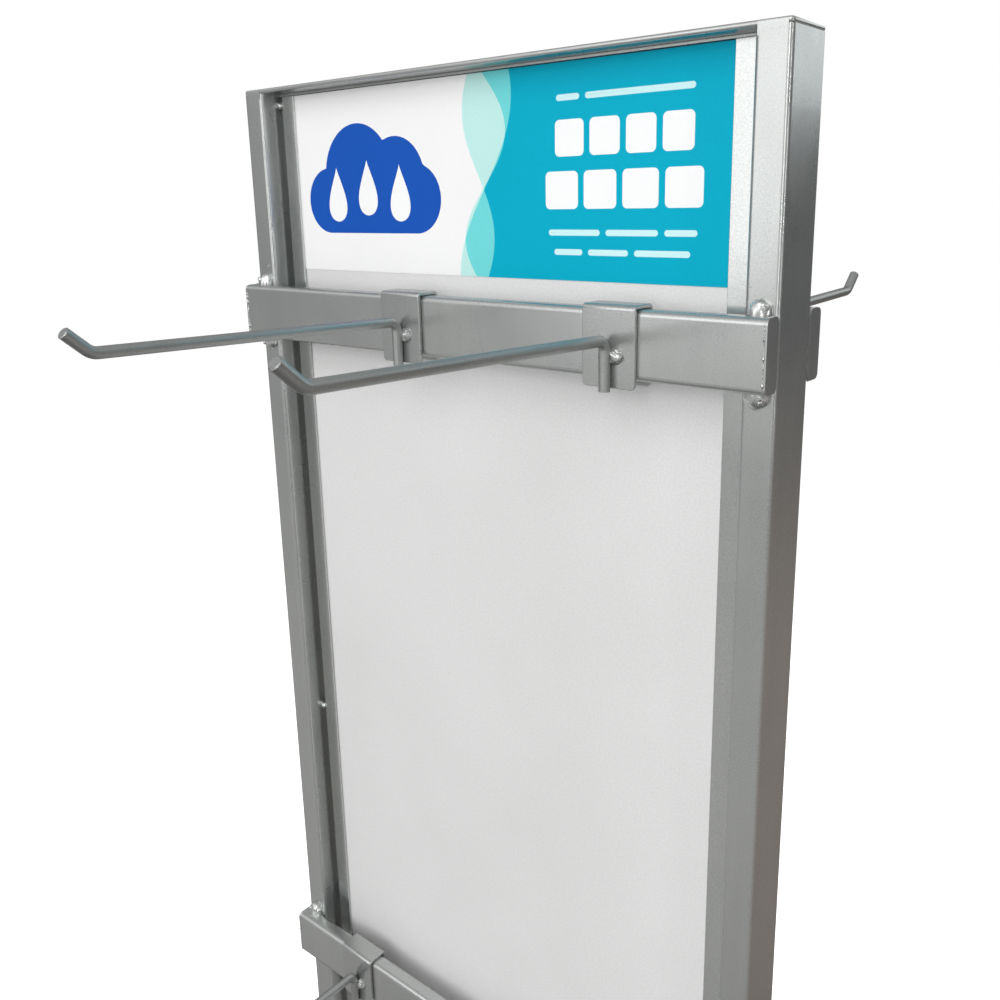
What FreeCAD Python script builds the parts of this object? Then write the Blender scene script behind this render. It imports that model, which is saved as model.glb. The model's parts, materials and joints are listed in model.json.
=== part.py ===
"""Two-sided slim display stand: a welded tube frame that holds a flat panel, with crossbars front and
rear, saddle hooks that hang over the crossbars, and two feet on levelling glides.

Millimetres, +Z up, +X to the right, the front faces -Y. The origin is on the floor under the centre.
"""
import FreeCAD, Part
import math
import os

import Sketcher

Vector = FreeCAD.Vector
Rotation = FreeCAD.Rotation
Placement = FreeCAD.Placement

# Driving dimensions: alias, millimetres or degrees, what it is.
DIMENSIONS = [
    ("total_height", 1676.0, "floor to the top of the cap bar"),
    ("frame_width", 414.0, "outside of one upright to the outside of the other"),
    ("tube_width", 19.05, "narrow side of the upright and foot tube"),
    ("tube_depth", 38.1, "wide side of the upright and foot tube"),
    ("tube_wall", 1.5, "wall of the upright and foot tube"),
    ("tube_corner", 2.5, "upright and foot tube outside corner radius"),
    ("cap_thickness", 3.0, "flat bar across the top"),
    ("cap_snip_drop", 2.4, "height of the ground-off rear corner of the cap bar"),
    ("cap_snip_angle", 32.0, "slope of the ground-off rear corner"),
    ("bar_height", 38.1, "crossbar height"),
    ("bar_depth", 12.7, "crossbar depth"),
    ("bar_wall", 1.2, "crossbar wall"),
    ("bar_corner", 3.4, "crossbar outside corner radius"),
    ("bar_end_plate", 1.5, "plate that closes a crossbar end"),
    ("upper_bar_drop", 136.0, "frame top to the top of the upper crossbars"),
    ("bar_pitch", 544.0, "distance between crossbar levels"),
    ("dab_depth", 5.0, "crossbar weld dab, out from the upright"),
    ("dab_half_width", 6.4, "crossbar weld dab, along the crossbar"),
    ("dab_rise", 6.6, "crossbar weld dab, above or below the crossbar"),
    ("tack_radius", 2.6, "tack weld between an upright and a side channel"),
    ("tack_inset", 0.8, "tack weld axis behind the channel's face"),
    ("tack_first", 6.0, "top strip to the first tack weld"),
    ("tack_pitch", 473.0, "distance between tack welds"),
    ("bead_radius", 4.5, "weld bead between an upright and its foot"),
    ("channel_gap", 4.2, "upright to the back of a panel channel"),
    ("channel_face", 12.7, "channel flange, web included"),
    ("channel_depth", 9.5, "channel outside depth"),
    ("channel_wall", 1.6, "channel wall"),
    ("channel_bend", 0.8, "channel outside bend radius"),
    ("panel_thickness", 5.5, "white panel"),
    ("panel_play", 0.4, "panel edge to the bottom of its channel"),
    ("graphic_thickness", 0.4, "printed header sheet"),
    ("graphic_drop", 125.0, "frame top to the lower edge of the header sheet"),
    ("foot_length", 540.0, "foot, front to rear"),
    ("foot_clearance", 18.0, "floor to the underside of a foot"),
    ("rail_bottom", 96.0, "floor to the underside of the bottom rail"),
    ("plug_flange", 2.5, "visible thickness of a foot end plug"),
    ("plug_depth", 14.0, "part of the plug inside the tube"),
    ("plug_play", 0.15, "plug to tube wall"),
    ("leveller_inset", 32.0, "foot end to the leveller axis"),
    ("pad_diameter", 34.0, "leveller pad"),
    ("pad_height", 9.0, "leveller pad"),
    ("pad_crown", 20.0, "flat on top of the leveller pad"),
    ("stud_diameter", 8.0, "leveller stud"),
    ("stud_top", 46.0, "floor to the top of the leveller stud"),
    ("stud_play", 0.05, "stud to nut, on the radius"),
    ("jam_nut_height", 4.0, "hexagon under the foot that turns the stud"),
    ("jam_nut_flats", 13.0, "hexagon across its flats"),
    ("nut_height", 6.5, "nut welded inside the foot"),
    ("saddle_width", 34.0, "saddle along the crossbar"),
    ("saddle_thickness", 2.3, "saddle strip"),
    ("saddle_play", 0.3, "saddle leg to crossbar face"),
    ("saddle_seat", 0.15, "saddle underside to crossbar top"),
    ("saddle_below", 4.6, "saddle legs below the crossbar"),
    ("saddle_bend", 2.8, "saddle outside bend radius"),
    ("saddle_corner", 2.6, "rounded lower corners of the legs"),
    ("wire_diameter", 6.35, "hook wire"),
    ("wire_below", 1.4, "wire end below the saddle legs"),
    ("wire_elbow_drop", 16.4, "crossbar top to the corner of the wire's elbow"),
    ("wire_elbow_radius", 6.0, "elbow, on the wire's centreline"),
    ("hook_reach", 200.0, "elbow corner to the corner of the upturn"),
    ("hook_tilt", 1.6, "arm above level, degrees"),
    ("upturn_radius", 9.0, "upturn, on the wire's centreline"),
    ("upturn_angle", 42.0, "tip above level, degrees"),
    ("tip_length", 17.0, "upturn corner to the cut end"),
    ("tip_chamfer", 0.5, "dressed edge of the cut end"),
    ("front_upper_left", -42.0, "hook places along the crossbars, from the centre"),
    ("front_upper_right", 117.0, ""),
    ("front_middle_left", -130.0, ""),
    ("front_middle_right", 62.0, ""),
    ("front_lower_left", -96.0, ""),
    ("front_lower_right", 84.0, ""),
    ("rear_upper_left", -70.0, ""),
    ("rear_upper_right", 142.0, ""),
    ("rear_middle_left", -104.0, ""),
    ("rear_middle_right", 92.0, ""),
    ("rear_lower_left", -86.0, ""),
    ("rear_lower_right", 100.0, ""),
]

LEVELS = ["upper", "middle", "lower"]
FACES = {"front": -1, "rear": 1}
SIDES = {"left": -1, "right": 1}

# Expressions used in more than one place.
UPRIGHT_X = "(Sizes.frame_width - Sizes.tube_width) / 2"
INNER_X = "(Sizes.frame_width / 2 - Sizes.tube_width)"
BAR_Y = "(Sizes.tube_depth + Sizes.bar_depth) / 2"
FOOT_TOP = "(Sizes.foot_clearance + Sizes.tube_depth)"
CAP_BASE = "(Sizes.total_height - Sizes.cap_thickness)"
STRIP_BASE = "(Sizes.total_height - Sizes.cap_thickness - Sizes.channel_wall)"
RAIL_TOP = "(Sizes.rail_bottom + Sizes.tube_width)"
LEVELLER_Y = "(Sizes.foot_length / 2 - Sizes.leveller_inset)"
SADDLE_FACE = "(Sizes.bar_depth / 2 + Sizes.saddle_play + Sizes.saddle_thickness)"

ALONG_X = Rotation(Vector(0, 1, 0), 90)
ALONG_Y = Rotation(Vector(1, 0, 0), 90)

doc = FreeCAD.newDocument("display_stand")
sheet = doc.addObject("Spreadsheet::Sheet", "Sizes")
for row, (alias, number, meaning) in enumerate(DIMENSIONS, start=1):
    sheet.set(f"A{row}", alias)
    sheet.set(f"B{row}", str(number))
    sheet.set(f"C{row}", meaning)
    sheet.setAlias(f"B{row}", alias)
doc.recompute()

subparts = []


def value(expression):
    """The number that a sheet expression gives now."""
    return float(sheet.evalExpression(expression))


def bind(feature, expressions):
    """Drive properties of a feature by sheet expressions."""
    for path, expression in expressions.items():
        feature.setExpression(path, expression)


def add_subpart(feature, label, x="0", y="0", z="0", rotation=None):
    """Name a finished sub-part and place it by sheet expressions."""
    feature.Label = label
    feature.Placement = Placement(Vector(), rotation or Rotation())
    bind(feature, {"Placement.Base.x": x, "Placement.Base.y": y, "Placement.Base.z": z})
    subparts.append(feature)


def new_sketch(body, name, plane, offset=None):
    """A sketch on one of the body's own origin planes, at an optional distance from it."""
    sketch = body.newObject("Sketcher::SketchObject", name)
    support = next(item for item in body.Origin.OriginFeatures if item.Role == plane)
    sketch.AttachmentSupport = (support, [""])
    sketch.MapMode = "FlatFace"
    if offset:
        sketch.setExpression("AttachmentOffset.Base.z", offset)
    return sketch


def fix_point(sketch, geometry, position, x, y):
    """Tie one point of the sketch to the sheet, from the sketch's origin."""
    for kind, expression in (("DistanceX", x), ("DistanceY", y)):
        constraint = Sketcher.Constraint(kind, -1, 1, geometry, position, value(expression))
        index = sketch.addConstraint(constraint)
        sketch.setExpression(f"Constraints[{index}]", expression)


def add_outline(sketch, corners):
    """A closed outline through corners given as pairs of sheet expressions."""
    points = [Vector(value(x), value(y), 0) for x, y in corners]
    first = sketch.GeometryCount
    count = len(points)
    for index in range(count):
        sketch.addGeometry(Part.LineSegment(points[index], points[(index + 1) % count]))
    for index in range(count):
        following = first + (index + 1) % count
        sketch.addConstraint(Sketcher.Constraint("Coincident", first + index, 2, following, 1))
    for index, (x, y) in enumerate(corners):
        fix_point(sketch, first + index, 1, x, y)


def add_rectangle(sketch, width, height):
    """A rectangle centred on the sketch's origin."""
    right, left = f"({width}) / 2", f"-({width}) / 2"
    top, bottom = f"({height}) / 2", f"-({height}) / 2"
    add_outline(sketch, [(left, bottom), (right, bottom), (right, top), (left, top)])


def add_circle(sketch, x, y, diameter):
    """A circle placed and sized by sheet expressions."""
    centre = Vector(value(x), value(y), 0)
    index = sketch.addGeometry(Part.Circle(centre, Vector(0, 0, 1), value(diameter) / 2))
    fix_point(sketch, index, 3, x, y)
    constraint = sketch.addConstraint(Sketcher.Constraint("Diameter", index, value(diameter)))
    sketch.setExpression(f"Constraints[{constraint}]", diameter)


def pad(body, sketch, length, midplane=False):
    """Extrude a sketch, upwards or to both sides."""
    feature = body.newObject("PartDesign::Pad", "Pad")
    feature.Profile = sketch
    feature.SideType = "Symmetric" if midplane else "One side"
    feature.setExpression("Length", length)
    doc.recompute()
    return feature


def edges_where(feature, direction, accept):
    """Names of the straight edges along a direction whose midpoint passes a test."""
    names = []
    for index, edge in enumerate(feature.Shape.Edges, start=1):
        if edge.Curve.TypeId != "Part::GeomLine":
            continue
        along = abs(edge.tangentAt(edge.FirstParameter).dot(direction)) > 0.999
        if along and accept(edge.CenterOfMass):
            names.append(f"Edge{index}")
    return names


def dress(body, kind, base, edges, size):
    """A fillet or chamfer on some edges of a body's last feature."""
    feature = body.newObject(f"PartDesign::{kind}", kind)
    feature.Base = (base, edges)
    feature.setExpression("Radius" if kind == "Fillet" else "Size", size)
    doc.recompute()
    return feature


def new_body(label):
    return doc.addObject("PartDesign::Body", label)


def rounded_tube(label, width, depth, wall, corner, length):
    """A rectangular tube along its body's Z axis, centred on the origin, rounded inside and out."""
    body = new_body(label)
    profile = new_sketch(body, "Profile", "XY_Plane")
    add_rectangle(profile, width, depth)
    add_rectangle(profile, f"{width} - 2 * {wall}", f"{depth} - 2 * {wall}")
    tube = pad(body, profile, length, midplane=True)
    outside = value(width) / 2 - value(wall) / 2
    upright = Vector(0, 0, 1)
    outer = edges_where(tube, upright, lambda point: abs(point.x) > outside)
    tube = dress(body, "Fillet", tube, outer, corner)
    inner = edges_where(
        tube,
        upright,
        lambda point: abs(abs(point.x) - value(f"{width} / 2 - {wall}")) < 0.01
        and abs(abs(point.y) - value(f"{depth} / 2 - {wall}")) < 0.01,
    )
    dress(body, "Fillet", tube, inner, f"{corner} - {wall}")
    return body


def group(label, members):
    """Identical small pieces that share one sub-part as separate solids."""
    compound = doc.addObject("Part::Compound", label)
    compound.Links = members
    add_subpart(compound, label)


def frame_tube(label, length):
    """A length of the tube that the uprights, the feet and the bottom rail share."""
    return rounded_tube(
        label, "Sizes.tube_width", "Sizes.tube_depth", "Sizes.tube_wall", "Sizes.tube_corner", length)


# Frame tubes ---------------------------------------------------------------------------------


def build_uprights():
    """The two side tubes, standing on the feet and closed by the cap bar."""
    length = f"{CAP_BASE} - {FOOT_TOP}"
    for side, sign in SIDES.items():
        tube = frame_tube(f"{side}_upright", length)
        add_subpart(tube, f"{side}_upright", f"{sign} * {UPRIGHT_X}", "0", f"({CAP_BASE} + {FOOT_TOP}) / 2")


def build_cap_bar():
    """The flat bar over both uprights, with one rear corner ground off at a slope."""
    body = new_body("top_cap_bar")
    profile = new_sketch(body, "Profile", "XY_Plane")
    add_rectangle(profile, "Sizes.frame_width", "Sizes.tube_depth")
    plate = pad(body, profile, "Sizes.cap_thickness")
    corners = edges_where(plate, Vector(0, 0, 1), lambda point: True)
    plate = dress(body, "Fillet", plate, corners, "Sizes.tube_corner")
    snip = body.newObject("PartDesign::SubtractiveWedge", "GroundCorner")
    run = "Sizes.cap_snip_drop / tan(Sizes.cap_snip_angle)"
    bind(snip, {
        "Xmin": INNER_X,
        "X2min": INNER_X,
        "Xmax": "Sizes.frame_width / 2 + 1",
        "X2max": "Sizes.frame_width / 2 + 1",
        "Ymin": f"Sizes.tube_depth / 2 - {run}",
        "Ymax": "Sizes.tube_depth / 2",
        "Zmin": "Sizes.cap_thickness",
        "Z2min": "Sizes.cap_thickness - Sizes.cap_snip_drop",
        "Zmax": "Sizes.cap_thickness + 1",
        "Z2max": "Sizes.cap_thickness + 1",
    })
    add_subpart(body, "top_cap_bar", z=CAP_BASE)


def build_bottom_rail():
    """The tube that ties the uprights together under the panel."""
    length = f"2 * {INNER_X}"
    rail = frame_tube("bottom_rail", length)
    add_subpart(rail, "bottom_rail", z="Sizes.rail_bottom + Sizes.tube_width / 2", rotation=ALONG_X)


def bar_top(level):
    """Height of a crossbar's top edge."""
    return f"(Sizes.total_height - Sizes.upper_bar_drop - {LEVELS.index(level)} * Sizes.bar_pitch)"


def build_crossbars():
    """Three crossbars on each face, their end plates and the weld dabs on the uprights."""
    length = "Sizes.frame_width - 2 * Sizes.bar_end_plate"
    plates = []
    dabs = []
    for face, outward in FACES.items():
        for level in LEVELS:
            label = f"{face}_{level}_crossbar"
            middle = f"{bar_top(level)} - Sizes.bar_height / 2"
            centre_y = f"{outward} * {BAR_Y}"
            bar = rounded_tube(
                label, "Sizes.bar_height", "Sizes.bar_depth", "Sizes.bar_wall", "Sizes.bar_corner", length)
            add_subpart(bar, label, "0", centre_y, middle, ALONG_X)
            for side in SIDES.values():
                plates.append(end_plate(side, centre_y, middle))
                for above in (1, -1):
                    edge = f"{middle} + {above} * Sizes.bar_height / 2"
                    dabs.append(weld_dab(side, outward, above, edge))
    group("crossbar_end_plates", plates)
    group("crossbar_welds", dabs)


def end_plate(side, centre_y, middle):
    """A plate with the crossbar's own outline that closes one end."""
    body = new_body("EndPlate")
    profile = new_sketch(body, "Profile", "YZ_Plane")
    add_rectangle(profile, "Sizes.bar_depth", "Sizes.bar_height")
    plate = pad(body, profile, "Sizes.bar_end_plate", midplane=True)
    corners = edges_where(plate, Vector(1, 0, 0), lambda point: True)
    dress(body, "Fillet", plate, corners, "Sizes.bar_corner")
    bind(body, {
        "Placement.Base.x": f"{side} * (Sizes.frame_width - Sizes.bar_end_plate) / 2",
        "Placement.Base.y": centre_y,
        "Placement.Base.z": middle,
    })
    return body


def weld_dab(side, outward, above, edge):
    """A quarter of an ellipsoid in the corner between an upright's face and a crossbar's edge."""
    dab = doc.addObject("Part::Ellipsoid", "WeldDab")
    dab.Angle1 = 0.0
    dab.Angle2 = 90.0
    dab.Angle3 = 180.0
    lean = Rotation(Vector(-outward * above, 0, 0), Vector(0, 0, above), Vector(0, outward, 0), "ZYX")
    dab.Placement = Placement(Vector(), lean)
    bind(dab, {
        "Radius1": "Sizes.dab_depth",
        "Radius2": "Sizes.dab_half_width",
        "Radius3": "Sizes.dab_rise",
        "Placement.Base.x": f"{side} * {UPRIGHT_X}",
        "Placement.Base.y": f"{outward} * Sizes.tube_depth / 2",
        "Placement.Base.z": edge,
    })
    return dab


# Panel and its channels ----------------------------------------------------------------------


def channel_body(label, face, length):
    """A folded U channel along its body's Z axis, its web on -X and its slot open towards +X."""
    body = new_body(label)
    profile = new_sketch(body, "Profile", "XY_Plane")
    half, slot = "Sizes.channel_depth / 2", "(Sizes.channel_depth / 2 - Sizes.channel_wall)"
    add_outline(profile, [
        ("0", f"-{half}"), (face, f"-{half}"), (face, f"-{slot}"), ("Sizes.channel_wall", f"-{slot}"),
        ("Sizes.channel_wall", slot), (face, slot), (face, half), ("0", half),
    ])
    channel = pad(body, profile, length)
    web_corners = edges_where(channel, Vector(0, 0, 1), lambda point: point.x < 0.01)
    dress(body, "Fillet", channel, web_corners, "Sizes.channel_bend")
    return body


def flat_sheet(label, width, thickness, height, y, z):
    """An upright flat sheet centred on X."""
    body = new_body(label)
    profile = new_sketch(body, "Profile", "XY_Plane")
    add_rectangle(profile, width, thickness)
    pad(body, profile, height)
    add_subpart(body, label, "0", y, z)


def build_panel_set():
    """Side channels, top strip, bottom channel, panel and the two printed header sheets."""
    side_length = f"{STRIP_BASE} - {RAIL_TOP}"
    web_x = f"({INNER_X} - Sizes.channel_gap)"
    for side, sign in SIDES.items():
        turn = Rotation(Vector(0, 0, 1), 0 if sign < 0 else 180)
        channel = channel_body(f"{side}_panel_channel", "Sizes.channel_face", side_length)
        add_subpart(channel, f"{side}_panel_channel", f"{sign} * {web_x}", "0", RAIL_TOP, turn)

    flat_sheet(
        "top_panel_strip", f"2 * {INNER_X}", "Sizes.channel_depth", "Sizes.channel_wall", "0", STRIP_BASE)

    bottom_length = f"2 * ({web_x} - Sizes.channel_face)"
    slot_up = Rotation(Vector(0, 0, 1), Vector(0, 1, 0), Vector(-1, 0, 0), "XYZ")
    bottom = channel_body("bottom_panel_channel", "Sizes.channel_face", bottom_length)
    add_subpart(bottom, "bottom_panel_channel", f"{bottom_length} / 2", "0", RAIL_TOP, slot_up)

    panel_width = f"2 * ({web_x} - Sizes.channel_wall - Sizes.panel_play)"
    panel_base = f"({RAIL_TOP} + Sizes.channel_wall)"
    flat_sheet(
        "display_panel", panel_width, "Sizes.panel_thickness",
        f"{STRIP_BASE} - Sizes.panel_play - {panel_base}", "0", panel_base)
    for face, outward in FACES.items():
        flat_sheet(
            f"{face}_header_graphic", panel_width, "Sizes.graphic_thickness",
            f"{STRIP_BASE} - Sizes.panel_play - (Sizes.total_height - Sizes.graphic_drop)",
            f"{outward} * (Sizes.panel_thickness + Sizes.graphic_thickness) / 2",
            "Sizes.total_height - Sizes.graphic_drop")


def build_tack_welds():
    """Short plugs of weld that bridge the gap between the uprights and the side channels."""
    tacks = []
    for side in SIDES.values():
        for outward in FACES.values():
            for step in range(4):
                tack = doc.addObject("Part::Cylinder", "TackWeld")
                tack.Placement = Placement(Vector(), ALONG_X)
                bind(tack, {
                    "Radius": "Sizes.tack_radius",
                    "Height": "Sizes.channel_gap",
                    "Placement.Base.x": f"{side} * {INNER_X} - {(1 + side) / 2} * Sizes.channel_gap",
                    "Placement.Base.y": f"{outward} * (Sizes.channel_depth / 2 - Sizes.tack_inset)",
                    "Placement.Base.z": f"{STRIP_BASE} - Sizes.tack_first - {step} * Sizes.tack_pitch",
                })
                tacks.append(tack)
    group("channel_tack_welds", tacks)


# Feet ----------------------------------------------------------------------------------------


def build_feet():
    """Foot tubes with their leveller holes, the end plugs, the welded nuts and the weld beads."""
    plugs = []
    nuts = []
    beads = []
    for side, sign in SIDES.items():
        foot_x = f"{sign} * {UPRIGHT_X}"
        foot_z = "Sizes.foot_clearance + Sizes.tube_depth / 2"
        label = f"{side}_foot_tube"
        length = "Sizes.foot_length - 2 * Sizes.plug_flange"
        tube = frame_tube(label, length)
        drill_leveller_holes(tube)
        add_subpart(tube, label, foot_x, "0", foot_z, ALONG_Y)
        for end in FACES.values():
            plugs.append(foot_plug(foot_x, foot_z, end))
            nuts.append(hexagon_nut("FootNut", foot_x, f"{end} * {LEVELLER_Y}"))
            beads.append(foot_weld(foot_x, end))
    group("foot_end_plugs", plugs)
    group("leveller_nuts", nuts)
    group("foot_welds", beads)


def drill_leveller_holes(tube):
    """Two holes through the lower wall of a foot, near its ends."""
    volume = tube.Shape.Volume
    holes = new_sketch(tube, "LevellerHoles", "XZ_Plane")
    for end in (1, -1):
        add_circle(holes, "0", f"{end} * {LEVELLER_Y}", "Sizes.stud_diameter + 1")
    pocket = tube.newObject("PartDesign::Pocket", "Pocket")
    pocket.Profile = holes
    pocket.Reversed = True
    pocket.setExpression("Length", "Sizes.tube_depth")
    doc.recompute()
    if tube.Shape.Volume > volume - 1.0:
        raise RuntimeError("the leveller holes cut nothing")


def foot_plug(foot_x, foot_z, end):
    """A moulded plug: a flange over the tube's end and a block inside it."""
    body = new_body("FootPlug")
    flange_sketch = new_sketch(body, "Flange", "XY_Plane")
    add_rectangle(flange_sketch, "Sizes.tube_width", "Sizes.tube_depth")
    flange = pad(body, flange_sketch, "Sizes.plug_flange")
    corners = edges_where(flange, Vector(0, 0, 1), lambda point: True)
    flange = dress(body, "Fillet", flange, corners, "Sizes.tube_corner")
    rim = edges_where(flange, Vector(1, 0, 0), lambda point: point.z > 1.0)
    dress(body, "Fillet", flange, rim, "0.8")
    block_sketch = new_sketch(body, "Block", "XY_Plane")
    inside = "- 2 * (Sizes.tube_wall + Sizes.plug_play)"
    add_rectangle(block_sketch, f"Sizes.tube_width {inside}", f"Sizes.tube_depth {inside}")
    block = body.newObject("PartDesign::Pad", "Block")
    block.Profile = block_sketch
    block.Reversed = True
    block.setExpression("Length", "Sizes.plug_depth")
    doc.recompute()
    corners = edges_where(block, Vector(0, 0, 1), lambda point: point.z < -1.0)
    dress(body, "Fillet", block, corners, "Sizes.tube_corner - Sizes.tube_wall")
    body.Placement = Placement(Vector(), Rotation(Vector(1, 0, 0), -90 * end))
    bind(body, {
        "Placement.Base.x": foot_x,
        "Placement.Base.y": f"{end} * (Sizes.foot_length / 2 - Sizes.plug_flange)",
        "Placement.Base.z": foot_z,
    })
    return body


def hexagon_nut(name, x, y):
    """A nut standing on the inside of a foot's lower wall, around the stud."""
    blank = doc.addObject("Part::Prism", f"{name}Blank")
    blank.Polygon = 6
    bore = doc.addObject("Part::Cylinder", f"{name}Bore")
    bind(blank, {"Circumradius": "Sizes.jam_nut_flats / (2 * cos(30))", "Height": "Sizes.nut_height"})
    bind(bore, {"Radius": "Sizes.stud_diameter / 2 + Sizes.stud_play", "Height": "Sizes.nut_height"})
    nut = doc.addObject("Part::Cut", name)
    nut.Base = blank
    nut.Tool = bore
    nut.Placement = Placement(Vector(), Rotation(Vector(0, 0, 1), 30))
    bind(nut, {
        "Placement.Base.x": x,
        "Placement.Base.y": y,
        "Placement.Base.z": "Sizes.foot_clearance + Sizes.tube_wall",
    })
    return nut


def foot_weld(foot_x, end):
    """A fillet bead where an upright stands on its foot, drawn as a quarter round."""
    bead = doc.addObject("Part::Cylinder", "FootWeld")
    bead.Angle = 90
    along = Rotation(Vector(0, end, 0), Vector(0, 0, 1), Vector(end, 0, 0), "ZXY")
    bead.Placement = Placement(Vector(), along)
    bind(bead, {
        "Radius": "Sizes.bead_radius",
        "Height": "Sizes.tube_width - 2 * Sizes.tube_corner",
        "Placement.Base.x": f"{foot_x} - {end} * (Sizes.tube_width / 2 - Sizes.tube_corner)",
        "Placement.Base.y": f"{end} * Sizes.tube_depth / 2",
        "Placement.Base.z": FOOT_TOP,
    })
    return bead


def build_levellers():
    """Four levelling glides: a threaded stud with a hexagon, and a moulded pad under it."""
    for face, outward in FACES.items():
        for side, sign in SIDES.items():
            place = {"x": f"{sign} * {UPRIGHT_X}", "y": f"{outward} * {LEVELLER_Y}"}
            build_stud(f"{face}_{side}_leveller_stud", place)
            build_pad(f"{face}_{side}_leveller_pad", place)


def build_stud(label, place):
    """The stud from the pad's top up through the foot, with its turning hexagon."""
    body = new_body(label)
    hexagon = body.newObject("PartDesign::AdditivePrism", "Hexagon")
    hexagon.Polygon = 6
    bind(hexagon, {"Circumradius": "Sizes.jam_nut_flats / (2 * cos(30))", "Height": "Sizes.jam_nut_height"})
    shank = body.newObject("PartDesign::AdditiveCylinder", "Shank")
    bind(shank, {"Radius": "Sizes.stud_diameter / 2", "Height": "Sizes.stud_top - Sizes.pad_height"})
    doc.recompute()
    top = [
        f"Edge{index}" for index, edge in enumerate(shank.Shape.Edges, start=1)
        if edge.CenterOfMass.z > value("Sizes.stud_top - Sizes.pad_height") - 0.01 and edge.Closed
    ]
    dress(body, "Chamfer", shank, top, "0.8")
    add_subpart(body, label, place["x"], place["y"], "Sizes.pad_height")


def build_pad(label, place):
    """A turned profile: a flat base with a small edge radius and a sloping top."""
    body = new_body(label)
    profile = new_sketch(body, "Profile", "XZ_Plane")
    rim, crown = "Sizes.pad_diameter / 2", "Sizes.pad_crown / 2"
    add_outline(profile, [
        ("0", "0"), (f"{rim} - 1", "0"), (rim, "1"), (rim, "3.5"), (f"{rim} - 1", "4.5"),
        (crown, "Sizes.pad_height"), ("0", "Sizes.pad_height"),
    ])
    turned = body.newObject("PartDesign::Revolution", "Revolution")
    turned.Profile = profile
    turned.ReferenceAxis = (profile, ["V_Axis"])
    turned.Angle = 360
    doc.recompute()
    add_subpart(body, label, place["x"], place["y"], "0")


# Hooks ---------------------------------------------------------------------------------------


def build_hooks():
    """A saddle and a wire arm at each place along the crossbars."""
    for face, outward in FACES.items():
        for level in LEVELS:
            for side in SIDES:
                place = f"{face}_{level}_{side}"
                spot = {
                    "x": f"Sizes.{place}",
                    "y": f"{outward} * {BAR_Y}",
                    "z": bar_top(level),
                    "rotation": Rotation(Vector(0, 0, 1), 0 if outward < 0 else 180),
                }
                add_subpart(saddle_body(f"{place}_hook_saddle"), f"{place}_hook_saddle", **spot)
                add_subpart(wire_body(f"{place}_hook_wire"), f"{place}_hook_wire", **spot)


def saddle_body(label):
    """A strip bent over the crossbar: two equal legs and a flat top, with rounded lower corners."""
    body = new_body(label)
    profile = new_sketch(body, "Profile", "YZ_Plane")
    outside, inside = SADDLE_FACE, "(Sizes.bar_depth / 2 + Sizes.saddle_play)"
    top, seat = "(Sizes.saddle_seat + Sizes.saddle_thickness)", "Sizes.saddle_seat"
    foot = "-(Sizes.bar_height + Sizes.saddle_below)"
    add_outline(profile, [
        (f"-{outside}", foot), (f"-{inside}", foot), (f"-{inside}", seat), (inside, seat),
        (inside, foot), (outside, foot), (outside, top), (f"-{outside}", top),
    ])
    strip = pad(body, profile, "Sizes.saddle_width", midplane=True)
    along = Vector(1, 0, 0)
    outer = edges_where(strip, along, lambda point: point.z > value(top) - 0.01)
    strip = dress(body, "Fillet", strip, outer, "Sizes.saddle_bend")
    inner = edges_where(strip, along, lambda point: abs(point.z - value(seat)) < 0.01)
    strip = dress(body, "Fillet", strip, inner, "Sizes.saddle_bend - Sizes.saddle_thickness")
    tips = edges_where(strip, Vector(0, 1, 0), lambda point: point.z < value(foot) + 0.01)
    dress(body, "Fillet", strip, tips, "Sizes.saddle_corner")
    return body


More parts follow.
